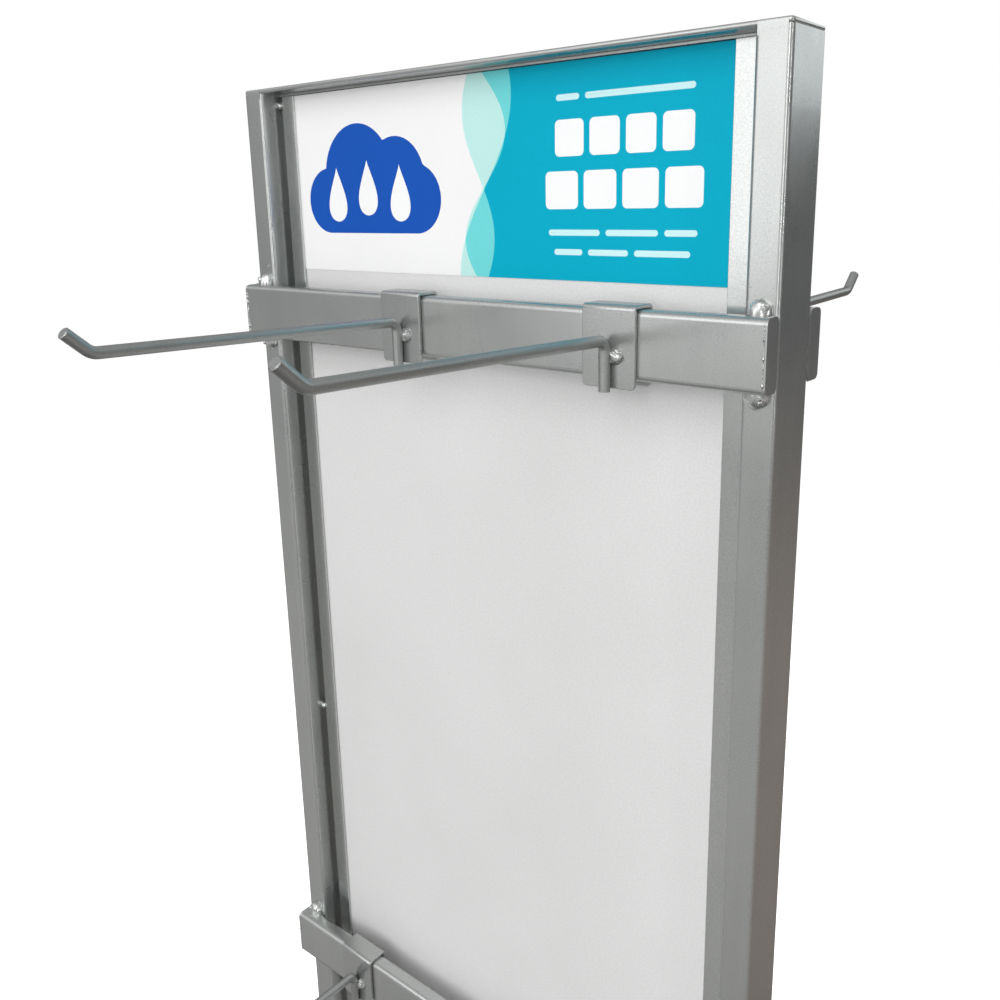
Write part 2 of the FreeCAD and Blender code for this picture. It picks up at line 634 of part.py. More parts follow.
def wire_path(body):
    """The wire's centreline: up the saddle, through the elbow, along the arm and up the tip."""
    path = new_sketch(body, "Path", "YZ_Plane")
    wire_y = f"-({SADDLE_FACE} + Sizes.wire_diameter / 2)"
    start_z = "-(Sizes.bar_height + Sizes.saddle_below + Sizes.wire_below)"
    elbow_cut = "Sizes.wire_elbow_radius * tan((90 - Sizes.hook_tilt) / 2)"
    upturn_cut = "Sizes.upturn_radius * tan((Sizes.upturn_angle - Sizes.hook_tilt) / 2)"
    rise = f"-({start_z}) - Sizes.wire_elbow_drop - {elbow_cut}"
    arm = f"Sizes.hook_reach - {elbow_cut} - {upturn_cut}"
    tip = f"Sizes.tip_length - {upturn_cut}"

    tilt, slope = value("Sizes.hook_tilt"), value("Sizes.upturn_angle")
    elbow, upturn = value("Sizes.wire_elbow_radius"), value("Sizes.upturn_radius")
    out = Vector(-math.cos(math.radians(tilt)), math.sin(math.radians(tilt)), 0)
    up_out = Vector(-math.cos(math.radians(slope)), math.sin(math.radians(slope)), 0)
    arm_normal = Vector(out.y, -out.x, 0)
    tip_normal = Vector(up_out.y, -up_out.x, 0)

    low = Vector(value(wire_y), value(start_z), 0)
    rise_end = low + Vector(0, value(rise), 0)
    elbow_centre = rise_end - Vector(elbow, 0, 0)
    arm_start = elbow_centre + arm_normal * elbow
    arm_end = arm_start + out * value(arm)
    upturn_centre = arm_end + arm_normal * upturn
    tip_start = upturn_centre - tip_normal * upturn
    tip_end = tip_start + up_out * value(tip)

    circle = Part.Circle(elbow_centre, Vector(0, 0, 1), elbow)
    bend = Part.Circle(upturn_centre, Vector(0, 0, 1), upturn)
    half_turn, quarter = math.pi, math.pi / 2
    path.addGeometry(Part.LineSegment(low, rise_end))
    path.addGeometry(Part.ArcOfCircle(circle, 0.0, quarter - math.radians(tilt)))
    path.addGeometry(Part.LineSegment(arm_start, arm_end))
    path.addGeometry(Part.ArcOfCircle(
        bend, half_turn + quarter - math.radians(slope), half_turn + quarter - math.radians(tilt)))
    path.addGeometry(Part.LineSegment(tip_start, tip_end))

    for joint in ((0, 2, 1, 1), (1, 2, 2, 1), (2, 2, 3, 2), (3, 1, 4, 1)):
        path.addConstraint(Sketcher.Constraint("Tangent", *joint))
    path.addConstraint(Sketcher.Constraint("Vertical", 0))
    fix_point(path, 0, 1, wire_y, start_z)
    sized = [
        ("Radius", 1, elbow, "Sizes.wire_elbow_radius"),
        ("Radius", 3, upturn, "Sizes.upturn_radius"),
        ("Distance", 0, value(rise), rise),
        ("Distance", 2, value(arm), arm),
        ("Distance", 4, value(tip), tip),
    ]
    for kind, geometry, number, expression in sized:
        index = path.addConstraint(Sketcher.Constraint(kind, geometry, number))
        path.setExpression(f"Constraints[{index}]", expression)
    for geometry, angle, expression in (
        (2, 180 - tilt, "180 - Sizes.hook_tilt"),
        (4, 180 - slope, "180 - Sizes.upturn_angle"),
    ):
        index = path.addConstraint(Sketcher.Constraint("Angle", geometry, math.radians(angle)))
        path.setExpression(f"Constraints[{index}]", expression)
    return path, wire_y, start_z


def wire_body(label):
    """Round wire swept along its path, with a dressed tip and the two weld blobs at the saddle."""
    body = new_body(label)
    path, wire_y, start_z = wire_path(body)
    section = new_sketch(body, "Section", "XY_Plane", offset=start_z)
    add_circle(section, "0", wire_y, "Sizes.wire_diameter")
    doc.recompute()
    wire = body.newObject("PartDesign::AdditivePipe", "Wire")
    wire.Profile = section
    wire.Spine = (path, [f"Edge{index}" for index in range(1, 6)])
    doc.recompute()
    far = min(wire.Shape.Edges, key=lambda edge: edge.CenterOfMass.y if edge.Closed else 0)
    tip = [
        f"Edge{index}" for index, edge in enumerate(wire.Shape.Edges, start=1)
        if edge.Closed and edge.CenterOfMass.isEqual(far.CenterOfMass, 0.01)
    ]
    dress(body, "Chamfer", wire, tip, "Sizes.tip_chamfer")
    add_weld_blob(body, 4.6, 25.0, (2.9, 4.9, 4.4))
    add_weld_blob(body, -3.2, 26.5, (2.2, 2.6, 4.0))
    return body


def add_weld_blob(body, x, drop, radii):
    """Half an ellipsoid on the saddle's front face, run into the side of the wire."""
    blob = body.newObject("PartDesign::AdditiveEllipsoid", "WeldBlob")
    blob.Radius1, blob.Radius2, blob.Radius3 = radii
    blob.Angle1 = 0.0
    blob.Placement = Placement(Vector(x, 0, -drop), ALONG_Y)
    blob.setExpression("Placement.Base.y", f"-{SADDLE_FACE}")
    doc.recompute()


def check_and_write():
    """Stop on any failed object or bad shape, then write one STEP file for each sub-part."""
    doc.recompute()
    for item in doc.Objects:
        if "Invalid" in item.State or "Error" in item.State:
            raise RuntimeError(f"{item.Label} failed: {item.State}")
    for item in subparts:
        if item.Shape.isNull() or not item.Shape.isValid():
            raise RuntimeError(f"{item.Label} has no valid shape")
    os.makedirs("parts", exist_ok=True)
    for item in subparts:
        item.Shape.exportStep(f"parts/{item.Label}.step")
    print(f"{len(subparts)} sub-parts written")


build_uprights()
build_cap_bar()
build_bottom_rail()
build_crossbars()
build_panel_set()
build_tack_welds()
build_feet()
build_levellers()
build_hooks()
check_and_write()
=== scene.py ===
"""Looks for the two-sided display stand: coated steel, welds, printed header sheets and moulded feet."""
import json
import math
import random

import bmesh
import bpy
from mathutils import Matrix, Vector, noise


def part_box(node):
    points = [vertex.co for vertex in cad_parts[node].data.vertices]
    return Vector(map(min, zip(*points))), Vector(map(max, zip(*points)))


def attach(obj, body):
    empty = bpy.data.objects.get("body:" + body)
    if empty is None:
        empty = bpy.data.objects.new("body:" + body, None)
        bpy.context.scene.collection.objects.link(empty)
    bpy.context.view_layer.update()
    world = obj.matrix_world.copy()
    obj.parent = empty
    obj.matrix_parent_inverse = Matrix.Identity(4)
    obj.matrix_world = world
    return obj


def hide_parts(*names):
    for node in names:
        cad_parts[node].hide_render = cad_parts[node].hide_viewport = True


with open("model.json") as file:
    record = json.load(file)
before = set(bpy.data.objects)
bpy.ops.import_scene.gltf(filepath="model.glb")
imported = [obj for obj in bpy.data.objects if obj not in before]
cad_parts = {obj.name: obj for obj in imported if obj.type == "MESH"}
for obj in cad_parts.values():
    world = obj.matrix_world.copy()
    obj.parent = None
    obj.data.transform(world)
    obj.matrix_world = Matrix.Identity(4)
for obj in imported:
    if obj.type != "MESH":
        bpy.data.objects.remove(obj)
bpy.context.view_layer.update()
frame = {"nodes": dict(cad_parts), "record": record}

MM = 0.001
nodes = frame["nodes"]

# Places taken from the frame --------------------------------------------------------------------

cap_low, cap_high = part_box("top_cap_bar")
upright_low, upright_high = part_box("right_upright")
channel_low, channel_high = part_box("right_panel_channel")
sheet_low, sheet_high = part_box("front_header_graphic")
rail_low, rail_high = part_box("bottom_rail")
TOP = cap_high.z
HALF_WIDTH = upright_high.x
INNER_X = upright_low.x
UPRIGHT_X = (upright_low.x + upright_high.x) / 2
TUBE_WIDTH = upright_high.x - upright_low.x
FRAME_Y = upright_high.y
CHANNEL_X = channel_high.x
CHANNEL_Y = channel_high.y
SHEET_Y = -sheet_low.y
FOOT_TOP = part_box("right_foot_tube")[1].z
FACES = {"front": -1, "rear": 1}
SIDES = {"left": -1, "right": 1}
LEVELS = ("upper", "middle", "lower")

# Node trees -------------------------------------------------------------------------------------


class Tree:
    """Short calls for making and linking shader nodes."""

    def __init__(self, tree):
        self.tree = tree

    def node(self, kind, **settings):
        made = self.tree.nodes.new(kind)
        for key, setting in settings.items():
            setattr(made, key, setting)
        return made

    def link(self, source, target):
        self.tree.links.new(source, target)

    def feed(self, socket, content):
        """Link a socket to an output, or set it to a number or a colour."""
        if isinstance(content, bpy.types.NodeSocket):
            self.link(content, socket)
        elif isinstance(content, tuple):
            socket.default_value = (*content, 1.0)
        else:
            socket.default_value = content

    def spread(self, source, low, high, start=0.3, end=0.7):
        """Map a pattern onto a range of numbers."""
        mapping = self.node("ShaderNodeMapRange")
        mapping.inputs["From Min"].default_value = start
        mapping.inputs["From Max"].default_value = end
        mapping.inputs["To Min"].default_value = low
        mapping.inputs["To Max"].default_value = high
        self.link(source, mapping.inputs["Value"])
        return mapping.outputs["Result"]

    def colours(self, source, stops):
        """A colour ramp through (position, (r, g, b)) stops."""
        ramp = self.node("ShaderNodeValToRGB")
        elements = ramp.color_ramp.elements
        while len(elements) < len(stops):
            elements.new(0.5)
        for element, (position, colour) in zip(elements, stops):
            element.position = position
            element.color = (*colour, 1.0)
        self.link(source, ramp.inputs["Fac"])
        return ramp.outputs["Color"]

    def mix(self, factor, first, second, blend="MIX"):
        """Blend two colours; the factor is a pattern or a number."""
        mixer = self.node("ShaderNodeMix", data_type="RGBA", blend_type=blend)
        factor_socket, first_socket, second_socket = mixer.inputs[0], mixer.inputs[6], mixer.inputs[7]
        self.feed(factor_socket, factor)
        self.feed(first_socket, first)
        self.feed(second_socket, second)
        return mixer.outputs[2]


class Material(Tree):
    """A Principled material whose patterns follow the object's own coordinates."""

    def __init__(self, name, **settings):
        self.material = bpy.data.materials.new(name)
        self.material.use_nodes = True
        super().__init__(self.material.node_tree)
        self.shader = self.tree.nodes["Principled BSDF"]
        for key, number in settings.items():
            self.shader.inputs[key.replace("_", " ")].default_value = number
        self.place = self.node("ShaderNodeTexCoord").outputs["Object"]

    def drive(self, key, source):
        """Drive one input of the shader."""
        self.link(source, self.shader.inputs[key])

    def stretched(self, x, y, z):
        """The object's coordinates, scaled differently along each axis."""
        mapping = self.node("ShaderNodeMapping")
        mapping.inputs["Scale"].default_value = (x, y, z)
        self.link(self.place, mapping.inputs["Vector"])
        return mapping.outputs["Vector"]

    def noise(self, scale, detail=2.0, roughness=0.5, place=None):
        texture = self.node("ShaderNodeTexNoise")
        texture.inputs["Scale"].default_value = scale
        texture.inputs["Detail"].default_value = detail
        texture.inputs["Roughness"].default_value = roughness
        self.link(place or self.place, texture.inputs["Vector"])
        return texture.outputs["Fac"]

    def cells(self, scale):
        texture = self.node("ShaderNodeTexVoronoi")
        texture.inputs["Scale"].default_value = scale
        self.link(self.place, texture.inputs["Vector"])
        return texture.outputs["Distance"]

    def bumps(self, *layers):
        """Stack bump layers given as (height, strength, distance)."""
        normal = None
        for height, strength, distance in layers:
            bump = self.node("ShaderNodeBump")
            bump.inputs["Strength"].default_value = strength
            bump.inputs["Distance"].default_value = distance
            self.link(height, bump.inputs["Height"])
            if normal:
                self.link(normal, bump.inputs["Normal"])
            normal = bump.outputs["Normal"]
        self.drive("Normal", normal)


def grey(level, warmth=0.0):
    """A near-neutral colour, a little warmer or cooler."""
    return (level * (1 + warmth), level, level * (1 - warmth))


def silver(level):
    """The faintly green grey of the metallic coat."""
    return (level * 0.985, level * 1.015, level * 0.995)


# Materials --------------------------------------------------------------------------------------

# How much of the light the dull metallic coat throws back at a glancing angle
EDGE_TINT = (0.66, 0.66, 0.66, 1.0)


def coated_steel(name, level, roughness, mottle=1.0, gloss=0.25):
    """Silver-grey metallic coat: fine flake, soft mottling and orange peel under a thin clear layer."""
    coat = Material(name, Metallic=0.92, Coat_Weight=gloss, Coat_Roughness=0.05, Specular_Tint=EDGE_TINT)
    flake = coat.noise(scale=1100, detail=2.0, roughness=0.6)
    patches = coat.noise(scale=19)
    streaks = coat.noise(scale=1.0, place=coat.stretched(110, 110, 8))
    base = coat.colours(flake, [
        (0.30, silver(level * 0.91)), (0.50, silver(level)), (0.70, silver(level * 1.08))])
    shade = coat.colours(patches, [(0.25, grey(0.93, -0.006)), (0.75, grey(1.0, 0.004))])
    marks = coat.colours(streaks, [(0.25, grey(0.94)), (0.65, grey(1.0))])
    worn = coat.mix(mottle * 0.75, base, shade, "MULTIPLY")
    coat.drive("Base Color", coat.mix(mottle * 0.6, worn, marks, "MULTIPLY"))
    coat.drive("Roughness", coat.spread(patches, roughness - 0.03, roughness + 0.05))
    orange_peel, waviness = coat.noise(scale=520), coat.noise(scale=38, detail=1.0)
    coat.bumps((orange_peel, 0.04, 0.0003), (waviness, 0.018, 0.0014))
    return coat.material


def weld_coat():
    """The same coat over weld metal: brighter, smoother and rippled."""
    coat = Material("coated_weld", Metallic=0.95, Coat_Weight=0.6, Coat_Roughness=0.05)
    tone = coat.noise(scale=420)
    coat.drive("Base Color", coat.colours(tone, [
        (0.3, silver(0.54)), (0.5, silver(0.68)), (0.72, silver(0.82))]))
    coat.drive("Roughness", coat.spread(coat.noise(scale=300), 0.18, 0.32))
    grain, ripples = coat.noise(scale=620), coat.noise(scale=220)
    coat.bumps((grain, 0.16, 0.0006), (ripples, 0.22, 0.0012))
    return coat.material


def zinc():
    """Zinc plate with a faint spangle, for the levelling studs and nuts."""
    plate = Material("zinc_plate", Metallic=1.0)
    spangle = plate.cells(scale=420)
    plate.drive("Base Color", plate.colours(spangle, [(0.0, (0.50, 0.52, 0.55)), (0.8, (0.66, 0.67, 0.68))]))
    plate.drive("Roughness", plate.spread(plate.noise(scale=260), 0.22, 0.42))
    plate.bumps((plate.noise(scale=800), 0.12, 0.0003))
    return plate.material


def white_panel():
    """Off-white rigid sheet: a fine grain, faint handling smudges and a low satin sheen."""
    panel = Material("white_panel", Specular_IOR_Level=0.35)
    wide = panel.noise(scale=5.5, detail=3.0, roughness=0.55)
    grain = panel.noise(scale=700, detail=2.0, roughness=0.55)
    base = panel.colours(grain, [(0.32, grey(0.705)), (0.68, grey(0.765))])
    smudge = panel.colours(wide, [(0.32, grey(0.945, 0.002)), (0.62, grey(1.0))])
    panel.drive("Base Color", panel.mix(0.8, base, smudge, "MULTIPLY"))
    panel.drive("Roughness", panel.spread(wide, 0.38, 0.50))
    pebble, waviness = panel.noise(scale=420), panel.noise(scale=9)
    panel.bumps((pebble, 0.05, 0.0004), (waviness, 0.06, 0.004))
    return panel.material


def printed_film(name, colour, variation=0.05):
    """One ink of the header sheet under a satin laminate, with a fine print grain."""
    film = Material(name, Specular_IOR_Level=0.08)
    broad = film.noise(scale=16, detail=3.0)
    dark = tuple(channel * (1 - variation) for channel in colour)
    light = tuple(min(1.0, channel * (1 + variation)) for channel in colour)
    ink = film.colours(film.noise(scale=1500), [(0.35, dark), (0.65, light)])
    fade = film.colours(broad, [(0.3, grey(0.97)), (0.7, grey(1.0))])
    film.drive("Base Color", film.mix(0.8, ink, fade, "MULTIPLY"))
    film.drive("Roughness", film.spread(broad, 0.34, 0.46))
    film.bumps((film.noise(scale=60), 0.04, 0.001))
    return film.material


def black_plastic():
    """Moulded black plastic with a fine spark texture and paler scuffs."""
    plastic = Material("black_plastic", Specular_IOR_Level=0.4)
    scuff = plastic.noise(scale=70, detail=4.0, roughness=0.65)
    plastic.drive("Base Color", plastic.colours(scuff, [(0.45, grey(0.022)), (0.75, grey(0.06, 0.02))]))
    plastic.drive("Roughness", plastic.spread(scuff, 0.42, 0.62))
    plastic.bumps((plastic.noise(scale=1100), 0.3, 0.0003))
    return plastic.material


MATERIALS = {
    "frame_steel": coated_steel("coated_frame", level=0.58, roughness=0.27),
    "saddle_steel": coated_steel("coated_saddle", level=0.54, roughness=0.27, mottle=0.8),
    "hook_steel": coated_steel("coated_wire", level=0.46, roughness=0.42, mottle=1.2, gloss=0.0),
    "weld_metal": weld_coat(),
    "zinc_steel": zinc(),
    "panel_plastic": white_panel(),
    "header_print": printed_film("film_white", (0.90, 0.90, 0.905), 0.015),
    "black_plastic": black_plastic(),
}
CHANNEL_STEEL = coated_steel("coated_channel", level=0.62, roughness=0.20, mottle=0.7)
INKS = {
    "teal": printed_film("ink_teal", (0.0, 0.40, 0.57)),
    "mint": printed_film("ink_mint", (0.165, 0.68, 0.70), 0.03),
    "pale_mint": printed_film("ink_pale_mint", (0.52, 0.82, 0.79), 0.03),
    "blue": printed_film("ink_blue", (0.010, 0.090, 0.46)),
    "white": printed_film("ink_white", (0.92, 0.93, 0.935), 0.015),
    "ice": printed_film("ink_ice", (0.60, 0.88, 0.90), 0.02),
}

# Edge radius by the ending of a node's name, for sheet and strip that has sharp edges
EDGE_RADII = {"_saddle": 0.6 * MM, "_channel": 0.35 * MM, "panel_strip": 0.3 * MM}
SAME_PLACE = 1e-6
FLAT_WITHIN, SHARP_FROM = math.radians(0.5), math.radians(60)
EDGE_SEGMENTS = 4


def round_edges(item, radius):
    """Join the node's faces, make each flat one whole, and round the sharp edges between them."""
    weld = item.modifiers.new("join_faces", "WELD")
    weld.merge_threshold = SAME_PLACE
    flat = item.modifiers.new("whole_faces", "DECIMATE")
    flat.decimate_type = "DISSOLVE"
    flat.angle_limit = FLAT_WITHIN
    bevel = item.modifiers.new("edge_radius", "BEVEL")
    bevel.width = radius
    bevel.segments = EDGE_SEGMENTS
    bevel.limit_method = "ANGLE"
    bevel.use_clamp_overlap = False
    bevel.angle_limit = SHARP_FROM
    bevel.harden_normals = True


def finish_cad_nodes():
    """Give every CAD node its material, and a fine edge radius where it has sharp edges."""
    for entry in frame["record"]["subparts"]:
        item = nodes[entry["node"]]
        item.data.materials.clear()
        smooth_strip = item.name.endswith("_panel_channel")
        item.data.materials.append(CHANNEL_STEEL if smooth_strip else MATERIALS[entry["material_slot"]])
        for ending, radius in EDGE_RADII.items():
            if item.name.endswith(ending):
                round_edges(item, radius)


# Mesh helpers -----------------------------------------------------------------------------------


def new_piece(name, work, body, materials, crease=60.0):
    """Turn bmesh work into a piece that rides on a body; edges sharper than the crease stay sharp."""
    bmesh.ops.recalc_face_normals(work, faces=work.faces)
    for face in work.faces:
        face.smooth = True
    for edge in work.edges:
        edge.smooth = edge.calc_face_angle(math.pi) < math.radians(crease)
    mesh = bpy.data.meshes.new(name)
    work.to_mesh(mesh)
    work.free()
    for material in materials:
        mesh.materials.append(material)
    item = bpy.data.objects.new(name, mesh)
    bpy.context.scene.collection.objects.link(item)
    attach(item, body)
    return item


def join_rings(work, rings, closed=False):
    """Skin a list of vertex rings; an open skin gets a flat cap at each end."""
    count = len(rings[0])
    pairs = list(zip(rings, rings[1:]))
    if closed:
        pairs.append((rings[-1], rings[0]))
    for first, second in pairs:
        for index in range(count):
            after = (index + 1) % count
            work.faces.new((first[index], first[after], second[after], second[index]))
    if not closed:
        work.faces.new(rings[0])
        work.faces.new(rings[-1])


def bead_along(work, path, radius_at, closed, segments=10):
    """A bead of weld metal along a path; radius_at gives its radius for each point's number."""
    rings = []
    count = len(path)
    for index, point in enumerate(path):
        ahead = path[(index + 1) % count] if closed else path[min(index + 1, count - 1)]
        behind = path[index - 1] if closed else path[max(index - 1, 0)]
        along = (ahead - behind).normalized()
        side = along.orthogonal() if abs(along.x) > 0.9 else along.cross(Vector((1, 0, 0)))
        side.normalize()
        up = along.cross(side).normalized()
        radius = radius_at(index)
        rings.append([
            work.verts.new(point + radius * (side * math.cos(turn) + up * math.sin(turn)))
            for turn in (2 * math.pi * step / segments for step in range(segments))
        ])
    join_rings(work, rings, closed)


def lump(work, centre, radii, seed, rough, ripple=0.0, detail=3):
    """An irregular rounded lump of weld metal, with optional ripples along X."""
    broad_scale, fine_scale, ripple_count = 1.7, 5, 15
    offset = Vector((seed * 3.7, seed * 1.3, seed * 2.1))
    for vert in bmesh.ops.create_icosphere(work, subdivisions=detail, radius=1.0)["verts"]:
        direction = vert.co.normalized()
        broad = noise.noise(direction * broad_scale + offset)
        fine = noise.noise(direction * fine_scale + offset)
        size = 1 + rough * (broad + 0.5 * fine) + ripple * math.cos(direction.x * ripple_count)
        vert.co = Vector([direction[axis] * radii[axis] * size for axis in range(3)]) + centre


def spatter(work, spots, dice):
    """Small beads thrown around a weld, half sunk in the surface they landed on."""
    smallest, largest = 0.15, 0.42
    for spot in spots:
        radius = dice.uniform(smallest, largest) * MM
        made = bmesh.ops.create_icosphere(work, subdivisions=2, radius=radius)["verts"]
        bmesh.ops.translate(work, verts=made, vec=spot)


# Printed header ---------------------------------------------------------------------------------

# Places on a sheet are a distance right of its centre line, as the face is read, and a depth below
# the frame's top. The badge's lobes and drops are measured from its centre. Plain numbers in the
# lists are millimetres.
INK_LAYER = 0.03 * MM
HEADER_TOP = TOP - sheet_high.z
HEADER_BOTTOM = TOP - sheet_low.z
INK_EDGE = channel_low.x - 0.2 * MM
BADGE = Vector((-98 * MM, 66 * MM))
CLOUD_LOBES = ((-41, 11, 22), (-11, -6, 33), (25, -2, 27), (44, 11, 22))  # across, down, radius
CLOUD_BASE = 33 * MM
DROPS = ((-33, 7), (-2, 3), (29, 7))  # across, down
DROP_RADIUS = 13.5 * MM
DROP_HEIGHT = 1.35
DROP_PINCH = 1.6
LINE_CORNER, BLOCK_CORNER = 1.7, 3.0
LETTERING = (
    # ink, top, bottom, corner radius, (left, right) of each bar
    ("ice", 22.0, 25.4, LINE_CORNER, ((60, 76), (80, 149))),
    ("white", 35.5, 55.5, BLOCK_CORNER, ((59, 79), (83, 103), (107, 126), (130, 149))),
    ("white", 63.5, 84.5, BLOCK_CORNER, ((52, 75), (79, 101), (105, 128), (132, 155))),
    ("ice", 96.0, 99.4, LINE_CORNER, ((54, 90), (94, 128), (132, 152))),
    ("ice", 107.0, 110.4, LINE_CORNER, ((58, 78), (82, 109), (113, 148))),
)


def wave(middle, swing, crest, length):
    """A wavy line down the sheet: its distance from the centre line at each depth."""
    return lambda depth: middle + swing * math.cos(2 * math.pi * (depth - crest) / length)


WAVES = (
    wave(0.0, -12 * MM, 27 * MM, 148 * MM),
    wave(5 * MM, 17 * MM, 38 * MM, 130 * MM),
    wave(5 * MM, 22 * MM, 18 * MM, 214 * MM),
)


def wave_number(rank):
    """The wavy line that is first, second or third from the left at each depth."""
    return lambda depth: sorted(line(depth) for line in WAVES)[rank]


def between(left, right, steps=60):
    """The outline of the area between two lines that run down the sheet."""
    depths = [HEADER_TOP + (HEADER_BOTTOM - HEADER_TOP) * step / steps for step in range(steps + 1)]
    return [(left(depth), depth) for depth in depths] + [(right(depth), depth) for depth in reversed(depths)]


def rounded_bar(left, right, top, bottom, corner, steps=8):
    """The outline of a bar with rounded corners."""
    outline = []
    centres = [(right - corner, top + corner, -90), (right - corner, bottom - corner, 0),
               (left + corner, bottom - corner, 90), (left + corner, top + corner, 180)]
    for x, depth, start in centres:
        for step in range(steps + 1):
            angle = math.radians(start + 90 * step / steps)
            outline.append((x + corner * math.cos(angle), depth + corner * math.sin(angle)))
    return outline


def cloud(steps=180):
    """A flat-bottomed cloud of round lobes about the badge's centre."""
    lobes = [(x * MM, depth * MM, radius * MM) for x, depth, radius in CLOUD_LOBES]
    outline = []
    for step in range(steps):
        across, down = math.cos(2 * math.pi * step / steps), math.sin(2 * math.pi * step / steps)
        reach = 0.0
        for x, depth, radius in lobes:
            nearest = x * across + depth * down
            room = nearest ** 2 - x ** 2 - depth ** 2 + radius ** 2
            if room > 0:
                reach = max(reach, nearest + math.sqrt(room))
        if down > 0:
            to_base = CLOUD_BASE / down
            if lobes[0][0] < to_base * across < lobes[-1][0]:
                reach = to_base
        outline.append((BADGE.x + reach * across, BADGE.y + reach * down))
    return outline


def raindrop(x, depth, radius, steps=48):
    """A drop: a round base drawn out to a point at its top."""
    outline = []
    for step in range(steps):
        angle = 2 * math.pi * step / steps
        pinch = math.sin(angle / 2) ** DROP_PINCH
        across = radius * math.sin(angle) * pinch
        outline.append((x + across, depth - radius * DROP_HEIGHT * math.cos(angle)))
    return outline


def header_shapes():
    """Every printed shape as (ink, layer, outline)."""
    shapes = [
        ("pale_mint", 0, between(wave_number(0), wave_number(1))),
        ("mint", 0, between(wave_number(1), wave_number(2))),
        ("teal", 0, between(wave_number(2), lambda depth: INK_EDGE)),
        ("blue", 0, cloud()),
    ]
    for x, depth in DROPS:
        shapes.append(("white", 1, raindrop(BADGE.x + x * MM, BADGE.y + depth * MM, DROP_RADIUS)))
    for ink, top, bottom, corner, spans in LETTERING:
        for left, right in spans:
            shapes.append((ink, 1, rounded_bar(left * MM, right * MM, top * MM, bottom * MM, corner * MM)))
    return shapes


def build_header_prints():
    """Thin ink shapes on the outer face of each header sheet."""
    inks = list(INKS)
    for face, outward in FACES.items():
        work = bmesh.new()
        for ink, layer, outline in header_shapes():
            base = SHEET_Y + layer * INK_LAYER
            corners = [
                work.verts.new((-outward * across, outward * base, TOP - depth)) for across, depth in outline
            ]
            flat = work.faces.new(corners)
            flat.material_index = inks.index(ink)
            raised = bmesh.ops.extrude_face_region(work, geom=[flat])["geom"]
            moved = [item for item in raised if isinstance(item, bmesh.types.BMVert)]
            bmesh.ops.translate(work, verts=moved, vec=(0, outward * INK_LAYER, 0))
        new_piece(f"{face}_header_print", work, "frame", INKS.values())


# Welds ------------------------------------------------------------------------------------------


def arc_inset(distance, radius):
    """How far a rounded edge has drawn in at a distance before its end."""
    if distance >= radius:
        return 0.0
    return radius - math.sqrt(max(0.0, radius ** 2 - (radius - distance) ** 2))


def build_cap_bar():
    """The flat bar across the top with its edges dressed round, and one rear corner ground to a slope."""
    edge_radius, plan_radius, corner_steps = 1.42 * MM, 2.5 * MM, 7
    slope, slope_drop = math.tan(math.radians(32)), 2.4 * MM
    slope_start = FRAME_Y - slope_drop / slope
    beside_slope, bay, bays = 0.15 * MM, 20 * MM, 9
    half_thick = (cap_high.z - cap_low.z) / 2
    middle = (cap_high.z + cap_low.z) / 2
    inward = [plan_radius * (1 - math.cos(math.radians(angle))) for angle in range(4, 90, 6)]
    ends = [HALF_WIDTH - distance for distance in inward]
    run = [INNER_X + beside_slope, INNER_X - beside_slope]
    run += [bay * step for step in range(bays, -bays - 1, -1)]
    run += [-INNER_X] + [-x for x in reversed(ends)]
    work = bmesh.new()
    rings = []
    for x in ends + run:
        distance = HALF_WIDTH - abs(x)
        tall = half_thick - arc_inset(distance, edge_radius)
        deep = FRAME_Y - arc_inset(distance, plan_radius)
        corner = min(edge_radius, tall * 0.95)
        ring = []
        for start, side_y, side_z in ((0, 1, 1), (90, -1, 1), (180, -1, -1), (270, 1, -1)):
            for step in range(corner_steps + 1):
                turn = math.radians(start + 90 * step / corner_steps)
                y = side_y * (deep - corner) + corner * math.cos(turn)
                z = middle + side_z * (tall - corner) + corner * math.sin(turn)
                if x > INNER_X and y > slope_start:
                    z = min(z, TOP - (y - slope_start) * slope)
                ring.append(work.verts.new((x, y, z)))
        rings.append(ring)
    join_rings(work, rings)
    steel = [MATERIALS["frame_steel"]]
    piece = new_piece("cap_bar_dressed", work, "frame", steel, crease=50.0)
    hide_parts("top_cap_bar")


# Weld dabs above (1) and below (-1) a crossbar: radii along X, outward and up, and how far the
# middle stands off the bar's edge. The crater is the small lump on the dab's outer shoulder.
# Shifts and spatter distances are plain numbers in millimetres.
DAB_RADII = {1: Vector((6.7, 5.2, 8.0)) * MM, -1: Vector((7.3, 5.2, 8.0)) * MM}
DAB_RISE = {1: 0.2 * MM, -1: 1.4 * MM}
DAB_INWARD = 0.4 * MM
DAB_PROUD = 0.6 * MM
CRATER_SHIFT = (3.4, 2.4, 3.4)
CRATER_RADII = Vector((2.2, 2.6, 2.0)) * MM
DAB_SPATTER = 4
SPATTER_ACROSS = 6
SPATTER_NEAR, SPATTER_FAR = 7.5, 14


